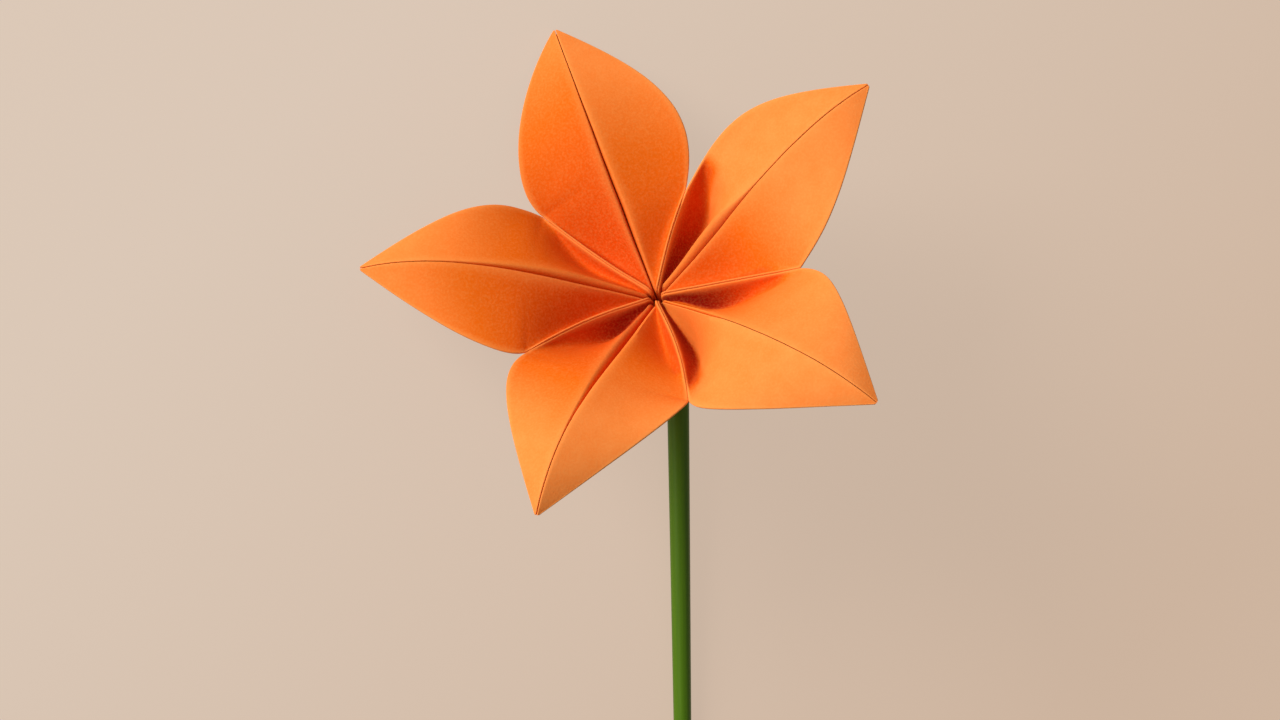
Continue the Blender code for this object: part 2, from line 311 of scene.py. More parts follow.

# %% [markdown]
# ## Rails as a chain of points
# Geometry Nodes will draw the sheet, so the rails are handed over as data: a chain of points
# along the seam, where every point also carries the keel, the two folded edges, the depth of
# the walls and how far the fold has laid itself flat. Four more values steer the look. The
# raw edges roll down into the seam, most of all some way out from the throat. The hollow of
# a flap runs out before the tip, where its two layers come close. And painted shade darkens
# the orange towards the throat, while a painted dark red shade stands in for the shade and
# the light passed between sheets in the pockets and down inside the base.

# %% Rails of one petal
STATIONS = 150
BASE_STATIONS = 22
THROAT_CROWDING = 1.1
LIP_ROLL = 0.0013
LIP_FULL = 0.25
THROAT_LIP = 0.5
TIP_LIP = 0.06
CUP_START = 0.50
CUP_END = 0.90
# Where the painted shade towards the throat and the painted dark red shade in the pockets and the
# base begin and end.
THROAT_SHADE_START = 0.12
RED_SHADE_START = 0.15
BASE_RED_SHADE = (-0.25, 0.03)


def petal_shares():
    last = STATIONS - BASE_STATIONS - 1
    shares = [step / BASE_STATIONS - 1.0 for step in range(BASE_STATIONS)]
    return shares + [TIP_STOP * (step / last) ** THROAT_CROWDING for step in range(last + 1)]


def add_attribute(mesh, name, kind, values):
    data = mesh.attributes.new(name, kind, "POINT").data
    field = "vector" if kind == "FLOAT_VECTOR" else "value"
    for item, value in zip(data, values):
        setattr(item, field, value)


def lip_roll(index, side, share):
    opening = THROAT_LIP + (1.0 - THROAT_LIP) * smooth_step(0.0, LIP_FULL, share)
    closing = 1.0 - (1.0 - TIP_LIP) * smooth_step(LIP_FULL, PETALS[index]["closed"], share)
    return LIP_ROLL * side_of(index, side)["roll"] * opening * closing


# Painted shade: a dark red at the foot of the walls beside the ridge and down inside the base.
def paint_red_shade(index, side, ridge_share):
    most, end = side_of(index, side)["pocket"]
    beside_ridge = most * (1.0 - smooth_step(RED_SHADE_START, end, ridge_share))
    return max(beside_ridge, 1.0 - smooth_step(*BASE_RED_SHADE, ridge_share))


def petal_rails(index, place):
    petal = PETALS[index]
    shares = petal_shares()
    seam = [place @ seam_point(petal, share) for share in shares]
    mesh = bpy.data.meshes.new(f"petal_{index + 1}_folded")
    mesh.from_pydata(seam, [(step, step + 1) for step in range(len(seam) - 1)], [])
    keel = [place @ keel_point(petal, share) for share in shares]
    add_attribute(mesh, "keel", "FLOAT_VECTOR", keel)
    cupped = [1.0 - smooth_step(CUP_START, CUP_END, share) for share in shares]
    add_attribute(mesh, "cupped", "FLOAT", cupped)
    for side, name in ((1, "left"), (-1, "right")):
        notch_share = ridge_point(index, side, 1.0).x / petal_tip(petal).x
        ridge_shares = [share / notch_share if share > 0.0 else share for share in shares]
        stop = side_of(index, side)["wall"][-1]
        lie = [smooth_step(stop - LIE_BEFORE, stop + LIE_PAST, share) for share in ridge_shares]
        edge = [place @ edge_point(index, side, share) for share in shares]
        add_attribute(mesh, f"{name} edge", "FLOAT_VECTOR", edge)
        depth = [wall_depth(index, side, share) for share in ridge_shares]
        add_attribute(mesh, f"{name} depth", "FLOAT", depth)
        add_attribute(mesh, f"{name} lie", "FLOAT", lie)
        roll = [lip_roll(index, side, share) for share in shares]
        add_attribute(mesh, f"{name} roll", "FLOAT", roll)
        # Painted shade: how strongly the orange is darkened towards the throat at each station.
        most, end = side_of(index, side)["deep"]
        deep = [most * (1.0 - smooth_step(THROAT_SHADE_START, end, share)) for share in shares]
        add_attribute(mesh, f"{name} deep", "FLOAT", deep)
        pocket = [paint_red_shade(index, side, share) for share in ridge_shares]
        add_attribute(mesh, f"{name} pocket", "FLOAT", pocket)
    return mesh


print("rails:", len(petal_shares()), "stations from base to tip")

# %% [markdown]
# ## A helper for node trees
# Both geometry and materials are node trees. One function adds a node, gives it its settings
# and joins or fills its inputs, so that the rest of the lesson reads as a recipe. An input
# may be given a plain value, a socket, or a node, whose first output is then used.


# %% One function adds a node
def add_node(tree, kind, inputs=None, **settings):
    node = tree.nodes.new(kind)
    for name, value in settings.items():
        setattr(node, name, value)
    for key, value in (inputs or {}).items():
        if isinstance(value, bpy.types.Node):
            value = next(socket for socket in value.outputs if socket.enabled)
        if isinstance(value, bpy.types.NodeSocket):
            tree.links.new(value, node.inputs[key])
        else:
            node.inputs[key].default_value = value
    return node


# %% [markdown]
# ## Colours and finishes
# Colours are picked from the object as sRGB hex values, the way a paint program shows them.
# Cycles works in linear light, so one function turns them.


# %% sRGB hex to linear light
def colour(code):
    values = [int(code[start:start + 2], 16) / 255 for start in (0, 2, 4)]
    linear = [v / 12.92 if v <= 0.04045 else ((v + 0.055) / 1.055) ** 2.4 for v in values]
    return (*linear, 1.0)


def new_material(name):
    material = bpy.data.materials.new(name)
    material.use_nodes = True
    tree = material.node_tree
    return material, tree, tree.nodes["Principled BSDF"]


print("a middle grey in linear light:", round(colour("808080")[0], 3))

# %% [markdown]
# Craft paper is dyed through, pressed but uncoated. The eye sees a matt sheet with a fine
# grain of fibres, slightly blotchy where the dye took unevenly, and a little paler along
# folds and raw edges, where the fibres are broken. All of it is drawn at real scales:
# the grain at 0.5 mm and the pulp's clouds at 4 mm are noises. Towards the throat a painted
# shade darkens the orange, and in the pockets, where paper faces paper and light is passed to
# and fro between them, a painted dark red shade stands in for that light and shade. These
# painted shades and the wear come from attributes that the folded sheet carries.

# %% Orange craft paper
GRAIN = 0.0005
GRAIN_FINENESS = 0.62
GRAIN_DEPTH = 0.00012
GRAIN_STRENGTH = 0.5
CLOUD = 0.004
CLOUD_COLOURS = ("FA8232", "FE9346")
# Painted shade: the next three colours darken the orange towards the throat and paint a dark red
# into the pockets.
HALF_SHADE_COLOUR = "EC6807"
THROAT_SHADE_COLOUR = "DE4A00"
RED_SHADE_COLOUR = "880500"
FIBRE_RANGE = (0.42, 0.75)
FIBRE_COLOUR = "FFC070"
FIBRE_TINT = 0.16
WORN_COLOUR = "FFA656"
WORN_TINT = 0.5
CRAFT_ROUGHNESS = (0.62, 0.86)
CRAFT_SHEEN = 0.08

orange_paper, tree, shader = new_material("orange craft paper, uncoated")
shader.inputs["Specular IOR Level"].default_value = CRAFT_SHEEN
place = add_node(tree, "ShaderNodeTexCoord").outputs["Object"]
cloud = add_node(tree, "ShaderNodeTexNoise", {"Vector": place, "Scale": 1 / CLOUD, "Detail": 4.0})
grain = add_node(tree, "ShaderNodeTexNoise",
                 {"Vector": place, "Scale": 1 / GRAIN, "Detail": 5.0,
                  "Roughness": GRAIN_FINENESS})
clouded = add_node(tree, "ShaderNodeMix",
                   {0: cloud, 6: colour(CLOUD_COLOURS[0]), 7: colour(CLOUD_COLOURS[1])},
                   data_type="RGBA")
# Painted shade: the orange is mixed towards darker colours where the sheet's shade mark is high,
# towards the throat and on the walls.
throat_shade = add_node(tree, "ShaderNodeAttribute", attribute_name="deep").outputs["Fac"]
half_way = add_node(tree, "ShaderNodeMapRange", {"Value": throat_shade, "From Max": 0.5})
further = add_node(tree, "ShaderNodeMapRange", {"Value": throat_shade, "From Min": 0.5})
half_shaded = add_node(tree, "ShaderNodeMix", {0: half_way, 6: clouded, 7: colour(HALF_SHADE_COLOUR)},
                  data_type="RGBA")
throat_shaded = add_node(tree, "ShaderNodeMix", {0: further, 6: half_shaded, 7: colour(THROAT_SHADE_COLOUR)},
                    data_type="RGBA")
# Painted shade: a dark red is mixed in at the walls' feet and inside the base, standing in for the
# shade and the light passed between the sheets there.
red_shade_amount = add_node(tree, "ShaderNodeAttribute", attribute_name="pocket").outputs["Fac"]
red_shaded = add_node(tree, "ShaderNodeMix", {0: red_shade_amount, 6: throat_shaded, 7: colour(RED_SHADE_COLOUR)},
                    data_type="RGBA")
fibre = add_node(tree, "ShaderNodeMapRange",
                 {"Value": grain, "From Min": FIBRE_RANGE[0], "From Max": FIBRE_RANGE[1]})
lighter = add_node(tree, "ShaderNodeMix",
                   {0: FIBRE_TINT, 6: red_shaded, 7: colour(FIBRE_COLOUR)}, data_type="RGBA")
grained = add_node(tree, "ShaderNodeMix", {0: fibre, 6: red_shaded, 7: lighter}, data_type="RGBA")
folded = add_node(tree, "ShaderNodeAttribute", attribute_name="crease").outputs["Fac"]
worn = add_node(tree, "ShaderNodeMath", {0: folded, 1: WORN_TINT}, operation="MULTIPLY")
paper_colour = add_node(tree, "ShaderNodeMix", {0: worn, 6: grained, 7: colour(WORN_COLOUR)},
                        data_type="RGBA")
rough = add_node(tree, "ShaderNodeMapRange",
                 {"Value": grain, "To Min": CRAFT_ROUGHNESS[0], "To Max": CRAFT_ROUGHNESS[1]})
relief = add_node(tree, "ShaderNodeBump",
                  {"Height": grain, "Strength": GRAIN_STRENGTH, "Distance": GRAIN_DEPTH})
for socket, node in (("Base Color", paper_colour), ("Roughness", rough), ("Normal", relief)):
    tree.links.new(next(out for out in node.outputs if out.enabled), shader.inputs[socket])
print("finish:", orange_paper.name)

# %% [markdown]
# The stem is paper too, wound tight and pressed smooth, so it has a satin skin with faint
# streaks that run along it. Stretching a noise along the stem's own length gives them.

# %% Green wound paper
STREAK = 0.0006
STREAK_STRETCH = 40
STREAK_DEPTH = 0.00008
STREAK_STRENGTH = 0.3
STREAK_COLOURS = ("426902", "587F06")
WOUND_ROUGHNESS = (0.34, 0.52)
WOUND_SHEEN = 0.3

green_paper, tree, shader = new_material("green wound paper, satin")
shader.inputs["Specular IOR Level"].default_value = WOUND_SHEEN
place = add_node(tree, "ShaderNodeTexCoord").outputs["Object"]
drawn = add_node(tree, "ShaderNodeMapping",
                 {"Vector": place, "Scale": (1.0, 1 / STREAK_STRETCH, 1.0)})
streak = add_node(tree, "ShaderNodeTexNoise", {"Vector": drawn, "Scale": 1 / STREAK, "Detail": 3.0})
streaked = add_node(tree, "ShaderNodeMix",
                    {0: streak, 6: colour(STREAK_COLOURS[0]), 7: colour(STREAK_COLOURS[1])},
                    data_type="RGBA")
rough = add_node(tree, "ShaderNodeMapRange",
                 {"Value": streak, "To Min": WOUND_ROUGHNESS[0], "To Max": WOUND_ROUGHNESS[1]})
relief = add_node(tree, "ShaderNodeBump",
                  {"Height": streak, "Strength": STREAK_STRENGTH, "Distance": STREAK_DEPTH})
for socket, node in (("Base Color", streaked), ("Roughness", rough), ("Normal", relief)):
    tree.links.new(next(out for out in node.outputs if out.enabled), shader.inputs[socket])
print("finish:", green_paper.name)

# %% [markdown]
# ## A curve inside Geometry Nodes
# The same Bezier curve is needed in the sheet. De Casteljau's way needs nothing but mixing:
# mix each pair of neighbouring points, then mix the results, until one point is left.

# %% The Bezier group
CONTROL_POINTS = ("Start", "First", "Second", "End")
CURVE_INPUTS = (*CONTROL_POINTS, "Share")

bezier = bpy.data.node_groups.new("Bezier curve", "GeometryNodeTree")
for name in CONTROL_POINTS:
    bezier.interface.new_socket(name, in_out="INPUT", socket_type="NodeSocketVector")
bezier.interface.new_socket("Share", in_out="INPUT", socket_type="NodeSocketFloat")
bezier.interface.new_socket("Point", in_out="OUTPUT", socket_type="NodeSocketVector")
given = add_node(bezier, "NodeGroupInput").outputs
mixed = [given[name] for name in CONTROL_POINTS]
while len(mixed) > 1:
    mixed = [add_node(bezier, "ShaderNodeMix", {0: given["Share"], 4: near, 5: far},
                      data_type="VECTOR") for near, far in zip(mixed, mixed[1:])]
add_node(bezier, "NodeGroupOutput", {"Point": mixed[0]})
print("Bezier group:", len(bezier.nodes), "nodes")

# %% [markdown]
# ## The folded petal as a tree
# The sheet starts as a flat grid. Its rows are stations along the petal and its columns run
# across it, from one raw edge over the left fold, round the back, over the right fold to the
# other raw edge. Each grid point looks up its station on the rails, works out its place in
# the section, and moves there. The raw edge is rolled in by a quarter turn, the flap is one
# Bezier curve, the fold is a small arc, and the back is another Bezier curve.

# %% Inputs of the folded petal
LIP_COLUMNS = 8
FLAP_COLUMNS = 26
FOLD_COLUMNS = 4
BACK_COLUMNS = 20
FLAP_END = LIP_COLUMNS + FLAP_COLUMNS
FOLD_END = FLAP_END + FOLD_COLUMNS
HALF_COLUMNS = FOLD_END + BACK_COLUMNS

petal_tree = bpy.data.node_groups.new("Folded petal", "GeometryNodeTree")
petal_tree.is_modifier = True
PETAL_INPUTS = {
    "Rails": "NodeSocketGeometry", "Stations": "NodeSocketInt", "Sideways": "NodeSocketVector",
    "Fold radius": "NodeSocketFloat", "Flap cup": "NodeSocketFloat",
    "Back gap": "NodeSocketFloat", "Slit": "NodeSocketFloat", "Lip depth": "NodeSocketFloat",
    "Waviness": "NodeSocketFloat", "Wave length": "NodeSocketFloat", "Seed": "NodeSocketInt",
    "Paper": "NodeSocketMaterial",
}
for name, kind in PETAL_INPUTS.items():
    petal_tree.interface.new_socket(name, in_out="INPUT", socket_type=kind)
petal_tree.interface.new_socket("Petal", in_out="OUTPUT", socket_type="NodeSocketGeometry")
given = add_node(petal_tree, "NodeGroupInput").outputs
print("folded petal:", len(PETAL_INPUTS), "inputs")

# %% [markdown]
# Rows and columns come from the point's index by whole division and remainder. The right
# half counts back from the far end, so both halves share one recipe.

# %% Row, column and side of a grid point
ACROSS = 2 * HALF_COLUMNS + 1
sheet = add_node(petal_tree, "GeometryNodeMeshGrid",
                 {"Vertices X": given["Stations"], "Vertices Y": ACROSS})
number = add_node(petal_tree, "GeometryNodeInputIndex")
row = add_node(petal_tree, "FunctionNodeIntegerMath", {0: number, 1: ACROSS},
               operation="DIVIDE_FLOOR")
column = add_node(petal_tree, "FunctionNodeIntegerMath", {0: number, 1: ACROSS},
                  operation="MODULO")
from_end = add_node(petal_tree, "FunctionNodeIntegerMath", {0: ACROSS - 1, 1: column},
                    operation="SUBTRACT")
step = add_node(petal_tree, "FunctionNodeIntegerMath", {0: column, 1: from_end},
                operation="MINIMUM")
on_right = add_node(petal_tree, "FunctionNodeCompare", {2: column, 3: HALF_COLUMNS},
                    data_type="INT", operation="GREATER_THAN")
side = add_node(petal_tree, "ShaderNodeMapRange",
                {"Value": on_right, "To Min": 1.0, "To Max": -1.0})
lip_angle = add_node(petal_tree, "ShaderNodeMapRange",
                     {"Value": step, "From Max": LIP_COLUMNS, "To Max": math.pi / 2})
flap_share = add_node(petal_tree, "ShaderNodeMapRange",
                      {"Value": step, "From Min": LIP_COLUMNS, "From Max": FLAP_END})
fold_angle = add_node(petal_tree, "ShaderNodeMapRange",
                      {"Value": step, "From Min": FLAP_END, "From Max": FOLD_END,
                       "To Max": math.pi})
back_share = add_node(petal_tree, "ShaderNodeMapRange",
                      {"Value": step, "From Min": FOLD_END, "From Max": HALF_COLUMNS})
print("grid:", STATIONS, "rows of", ACROSS, "points")

# %% [markdown]
# A rail is a list of values, one for each station. Sample Index reads the one for this row,
# and where the two sides differ a Switch takes the left one or the right one.

# %% The rails at that row
SIDE_RAILS = (("edge", "VECTOR"), ("depth", "FLOAT"), ("lie", "FLOAT"), ("roll", "FLOAT"),
              ("deep", "FLOAT"), ("pocket", "FLOAT"))
RAIL_KINDS = {"seam": "FLOAT_VECTOR", "keel": "FLOAT_VECTOR", "cupped": "FLOAT"}
for name, kind in SIDE_RAILS:
    for hand in ("left", "right"):
        RAIL_KINDS[f"{hand} {name}"] = kind.replace("VECTOR", "FLOAT_VECTOR")
rail = {}
for name, kind in RAIL_KINDS.items():
    if name == "seam":
        value = add_node(petal_tree, "GeometryNodeInputPosition")
    else:
        value = add_node(petal_tree, "GeometryNodeInputNamedAttribute", {"Name": name},
                         data_type=kind)
    rail[name] = add_node(petal_tree, "GeometryNodeSampleIndex",
                          {"Geometry": given["Rails"], "Value": value, "Index": row},
                          data_type=kind)
for name, kind in SIDE_RAILS:
    rail[name] = add_node(petal_tree, "GeometryNodeSwitch",
                          {"Switch": on_right, "False": rail[f"left {name}"],
                           "True": rail[f"right {name}"]}, input_type=kind)
print("rails read:", len(RAIL_KINDS))

# %% [markdown]
# Two directions rule the section: inward, from the seam to the keel, and out, to the side.
# At the ridge the paper stands on end and turns over across it. Past the notch it leans over
# until it lies flat, and the same arc then turns it under.

# %% Directions in the section
depthward = add_node(petal_tree, "ShaderNodeVectorMath", {0: rail["keel"], 1: rail["seam"]},
                     operation="SUBTRACT")
inward = add_node(petal_tree, "ShaderNodeVectorMath", {0: depthward}, operation="NORMALIZE")
out = add_node(petal_tree, "ShaderNodeVectorMath", {0: given["Sideways"], "Scale": side},
               operation="SCALE")
lean = add_node(petal_tree, "ShaderNodeMath", {0: rail["lie"], 1: math.pi / 2},
                operation="MULTIPLY")
upright = add_node(petal_tree, "ShaderNodeMath", {0: lean}, operation="COSINE")
leaning = add_node(petal_tree, "ShaderNodeMath", {0: lean}, operation="SINE")
sunk = add_node(petal_tree, "ShaderNodeMath", {0: upright, 1: -1.0}, operation="MULTIPLY")
parts = {}
for name, vector, amount in (("out up", out, upright), ("in lean", inward, leaning),
                             ("out lean", out, leaning), ("in sunk", inward, sunk)):
    parts[name] = add_node(petal_tree, "ShaderNodeVectorMath", {0: vector, "Scale": amount},
                           operation="SCALE")
across = add_node(petal_tree, "ShaderNodeVectorMath", {0: parts["out up"], 1: parts["in lean"]},
                  operation="ADD")
bulge = add_node(petal_tree, "ShaderNodeVectorMath", {0: parts["out lean"], 1: parts["in sunk"]},
                 operation="ADD")

# %% [markdown]
# Multiply Add moves a point along a direction in one node: direction times amount, plus the
# point. With it the lip, the two ends of the fold and the handles of the curves are placed.
# The rolled lip is a quarter of an ellipse. It starts upright in the seam, where the raw edge
# is, and ends level with the flap.

# %% The rolled lip of the seam
half_slit = add_node(petal_tree, "ShaderNodeMath", {0: given["Slit"], 1: 0.5},
                     operation="MULTIPLY")
lip_reach = add_node(petal_tree, "ShaderNodeMath", {0: rail["roll"], 1: half_slit},
                     operation="ADD")
lip = add_node(petal_tree, "ShaderNodeVectorMath", {0: out, 1: lip_reach, 2: rail["seam"]},
               operation="MULTIPLY_ADD")
lip_side = add_node(petal_tree, "ShaderNodeMath", {0: lip_angle}, operation="COSINE")
lip_height = add_node(petal_tree, "ShaderNodeMath", {0: lip_angle}, operation="SINE")
lip_sunk = add_node(petal_tree, "ShaderNodeMath", {0: 1.0, 1: lip_height}, operation="SUBTRACT")
lip_depth = add_node(petal_tree, "ShaderNodeMath", {0: rail["roll"], 1: given["Lip depth"]},
                     operation="MULTIPLY")
steps_in = add_node(petal_tree, "ShaderNodeMath", {0: lip_side, 1: rail["roll"]},
                    operation="MULTIPLY")
steps_out = add_node(petal_tree, "ShaderNodeMath", {0: steps_in, 1: -1.0}, operation="MULTIPLY")
steps_down = add_node(petal_tree, "ShaderNodeMath", {0: lip_sunk, 1: lip_depth},
                      operation="MULTIPLY")
beside = add_node(petal_tree, "ShaderNodeVectorMath", {0: out, 1: steps_out, 2: lip},
                  operation="MULTIPLY_ADD")
rolled = add_node(petal_tree, "ShaderNodeVectorMath", {0: inward, 1: steps_down, 2: beside},
                  operation="MULTIPLY_ADD")
print("as far as the lip:", len(petal_tree.nodes), "nodes")

# %% [markdown]
# The flap is the loose half of the front. Near the throat its outer part stands up as a
# wall, and further out it lies flat with a slight hollow. One curve does both, because its
# third handle slides from the foot of the wall to a flat place as the paper lies down.

# %% The flap, from the lip to the fold
minus_radius = add_node(petal_tree, "ShaderNodeMath", {0: given["Fold radius"], 1: -1.0},
                        operation="MULTIPLY")
front_edge = add_node(petal_tree, "ShaderNodeVectorMath",
                      {0: across, 1: minus_radius, 2: rail["edge"]}, operation="MULTIPLY_ADD")
near_flat = add_node(petal_tree, "ShaderNodeMix", {0: FLAT_HANDLE, 4: front_edge, 5: lip},
                     data_type="VECTOR")
cup = add_node(petal_tree, "ShaderNodeMath", {0: given["Flap cup"], 1: rail["cupped"]},
               operation="MULTIPLY")
flat = add_node(petal_tree, "ShaderNodeVectorMath", {0: inward, 1: cup, 2: near_flat},
                operation="MULTIPLY_ADD")
wall_foot = add_node(petal_tree, "ShaderNodeVectorMath",
                     {0: inward, 1: rail["depth"], 2: front_edge}, operation="MULTIPLY_ADD")
foot = add_node(petal_tree, "ShaderNodeMix", {0: rail["lie"], 4: wall_foot, 5: flat},
                data_type="VECTOR")
shoulder = add_node(petal_tree, "ShaderNodeMix", {0: SHOULDER_HANDLE, 4: lip, 5: foot},
                    data_type="VECTOR")
flap_curve = (lip, shoulder, foot, front_edge, flap_share)
flap = add_node(petal_tree, "GeometryNodeGroup", dict(zip(CURVE_INPUTS, flap_curve)),
                node_tree=bezier)
print("as far as the flap:", len(petal_tree.nodes), "nodes")

# %% [markdown]
# A crease is no knife edge: the paper goes round in a tiny half circle. A bevel could round
# a sharp edge, but not evenly where the angle changes along the way, so the half turn is
# part of the section and follows the rail.

# %% The fold, a half turn of small radius
turning = add_node(petal_tree, "ShaderNodeMath", {0: fold_angle}, operation="SINE")
facing = add_node(petal_tree, "ShaderNodeMath", {0: fold_angle}, operation="COSINE")
away = add_node(petal_tree, "ShaderNodeMath", {0: facing, 1: -1.0}, operation="MULTIPLY")
crossing = add_node(petal_tree, "ShaderNodeVectorMath", {0: across, "Scale": away},
                    operation="SCALE")
arm = add_node(petal_tree, "ShaderNodeVectorMath", {0: bulge, 1: turning, 2: crossing},
               operation="MULTIPLY_ADD")
fold = add_node(petal_tree, "ShaderNodeVectorMath",
                {0: arm, 1: given["Fold radius"], 2: rail["edge"]}, operation="MULTIPLY_ADD")
print("as far as the fold:", len(petal_tree.nodes), "nodes")

# %% [markdown]
# The back runs down beside the wall and on to the keel. Its last handle makes the belly: it
# lies out to the side by a share of the half width, and where the walls stand it is a
# little nearer to the seam.

# %% The back, from the fold down to the keel
back_edge = add_node(petal_tree, "ShaderNodeVectorMath",
                     {0: across, 1: given["Fold radius"], 2: rail["edge"]},
                     operation="MULTIPLY_ADD")
half_cup = add_node(petal_tree, "ShaderNodeMath", {0: given["Flap cup"], 1: 0.5},
                    operation="MULTIPLY")
near_back = add_node(petal_tree, "ShaderNodeMix",
                     {0: FLAT_HANDLE, 4: back_edge, 5: rail["keel"]}, data_type="VECTOR")
back_flat = add_node(petal_tree, "ShaderNodeVectorMath", {0: inward, 1: half_cup, 2: near_back},
                     operation="MULTIPLY_ADD")
back_depth = add_node(petal_tree, "ShaderNodeMath", {0: rail["depth"], 1: given["Back gap"]},
                      operation="ADD")
back_wall = add_node(petal_tree, "ShaderNodeVectorMath", {0: inward, 1: back_depth, 2: back_edge},
                     operation="MULTIPLY_ADD")
back_foot = add_node(petal_tree, "ShaderNodeMix", {0: rail["lie"], 4: back_wall, 5: back_flat},
                     data_type="VECTOR")
from_seam = add_node(petal_tree, "ShaderNodeVectorMath", {0: rail["edge"], 1: rail["seam"]},
                     operation="SUBTRACT")
reach = add_node(petal_tree, "ShaderNodeVectorMath", {0: from_seam, 1: given["Sideways"]},
                 operation="DOT_PRODUCT")
half_width = add_node(petal_tree, "ShaderNodeMath", {0: reach.outputs["Value"]},
                      operation="ABSOLUTE")
standing = add_node(petal_tree, "ShaderNodeMath", {0: 1.0, 1: rail["lie"]},
                    operation="SUBTRACT")
most_rise = add_node(petal_tree, "ShaderNodeMath", {0: half_width, 1: -BELLY_RISE},
                     operation="MULTIPLY")
rise = add_node(petal_tree, "ShaderNodeMath", {0: most_rise, 1: standing}, operation="MULTIPLY")
spread = add_node(petal_tree, "ShaderNodeMath", {0: half_width, 1: BELLY_WIDTH},
                  operation="MULTIPLY")
risen = add_node(petal_tree, "ShaderNodeVectorMath", {0: inward, 1: rise, 2: rail["keel"]},
                 operation="MULTIPLY_ADD")
belly = add_node(petal_tree, "ShaderNodeVectorMath", {0: out, 1: spread, 2: risen},
                 operation="MULTIPLY_ADD")
back_curve = (back_edge, back_foot, belly, rail["keel"], back_share)
back = add_node(petal_tree, "GeometryNodeGroup", dict(zip(CURVE_INPUTS, back_curve)),
                node_tree=bezier)
print("the whole section:", len(petal_tree.nodes), "nodes")

# %% [markdown]
# Handled paper is never quite true, so a slow noise pushes the sheet about by a tenth of a
# millimetre or two. It reads the point's place, so neighbours that stand back to back move
# together. The tips, where the layers lie close, keep stiller.

# %% Choose the part of the section and let it waver
TIP_WAVE = 0.3

point = rolled
for end, later in ((LIP_COLUMNS, flap), (FLAP_END, fold), (FOLD_END, back)):
    past = add_node(petal_tree, "FunctionNodeCompare", {2: step, 3: end}, data_type="INT",
                    operation="GREATER_THAN")
    point = add_node(petal_tree, "GeometryNodeSwitch",
                     {"Switch": past, "False": point, "True": later}, input_type="VECTOR")
frequency = add_node(petal_tree, "ShaderNodeMath", {0: 1.0, 1: given["Wave length"]},
                     operation="DIVIDE")
noise = add_node(petal_tree, "ShaderNodeTexNoise",
                 {"Vector": point, "W": given["Seed"], "Scale": frequency, "Detail": 2.0},
                 noise_dimensions="4D")
centred = add_node(petal_tree, "ShaderNodeVectorMath",
                   {0: noise.outputs["Color"], 1: (0.5, 0.5, 0.5)}, operation="SUBTRACT")
liveliness = add_node(petal_tree, "ShaderNodeMapRange",
                      {"Value": rail["cupped"], "To Min": TIP_WAVE})
amount = add_node(petal_tree, "ShaderNodeMath", {0: given["Waviness"], 1: liveliness},
                  operation="MULTIPLY")
wave = add_node(petal_tree, "ShaderNodeVectorMath", {0: centred, "Scale": amount},
                operation="SCALE")
shaped = add_node(petal_tree, "GeometryNodeSetPosition",
                  {"Geometry": sheet.outputs["Mesh"], "Position": point, "Offset": wave})
print("with the waver:", len(petal_tree.nodes), "nodes")

# %% [markdown]
# The finish has to know where it is on the folds, so the sheet carries three marks. Wear is
# counted in columns from the crest of a lip and from the middle of a fold. Painted shade
# darkens the orange wherever a flap stands up as a wall. And the painted dark red shade is
# strongest at the wall's foot and weaker again towards the ridge, where the light reaches it.

# %% Marks for the finish: wear and painted shade
LIP_CREST = LIP_COLUMNS * 0.8
FOLD_CREST = (FLAP_END + FOLD_END) / 2
WEAR_NEAR = 1.0
WEAR_FAR = 4.0
LIP_WEAR = 0.6
FOLD_WEAR = 1.0
WALL_STARTS = 0.40
WALL_STANDS = 0.72
RED_SHADE_FADES = 0.84
RIDGE_RED_SHADE = 0.8
FAINT_WALL = 0.0005
PLAIN_WALL = 0.003
WALL_SHADE_MOST = 0.9

wear = []
for crest, most in ((LIP_CREST, LIP_WEAR), (FOLD_CREST, FOLD_WEAR)):
    off_crest = add_node(petal_tree, "ShaderNodeMath", {0: step, 1: crest},
                         operation="SUBTRACT")
    distance = add_node(petal_tree, "ShaderNodeMath", {0: off_crest}, operation="ABSOLUTE")
    wear.append(add_node(petal_tree, "ShaderNodeMapRange",
                         {"Value": distance, "From Min": WEAR_NEAR, "From Max": WEAR_FAR,
                          "To Min": most, "To Max": 0.0}))
crease = add_node(petal_tree, "ShaderNodeMath", {0: wear[0], 1: wear[1]}, operation="MAXIMUM")
on_front = add_node(petal_tree, "FunctionNodeCompare", {2: step, 3: FLAP_END}, data_type="INT",
                    operation="LESS_THAN")
risen_part = add_node(petal_tree, "ShaderNodeMapRange",
                      {"Value": flap_share, "From Min": WALL_STARTS, "From Max": WALL_STANDS},
                      interpolation_type="SMOOTHSTEP")
wall_part = add_node(petal_tree, "ShaderNodeMath", {0: risen_part, 1: on_front},
                     operation="MULTIPLY")
# Painted shade: the deeper a wall stands, the darker its orange is painted.
wall_shade_strength = add_node(petal_tree, "ShaderNodeMapRange",
                     {"Value": rail["depth"], "From Min": FAINT_WALL, "From Max": PLAIN_WALL,
                      "To Max": WALL_SHADE_MOST})
painted_wall_shade = add_node(petal_tree, "ShaderNodeMath", {0: wall_part, 1: wall_shade_strength}, operation="MULTIPLY")
deep = add_node(petal_tree, "ShaderNodeMath", {0: painted_wall_shade, 1: rail["deep"]}, operation="MAXIMUM")
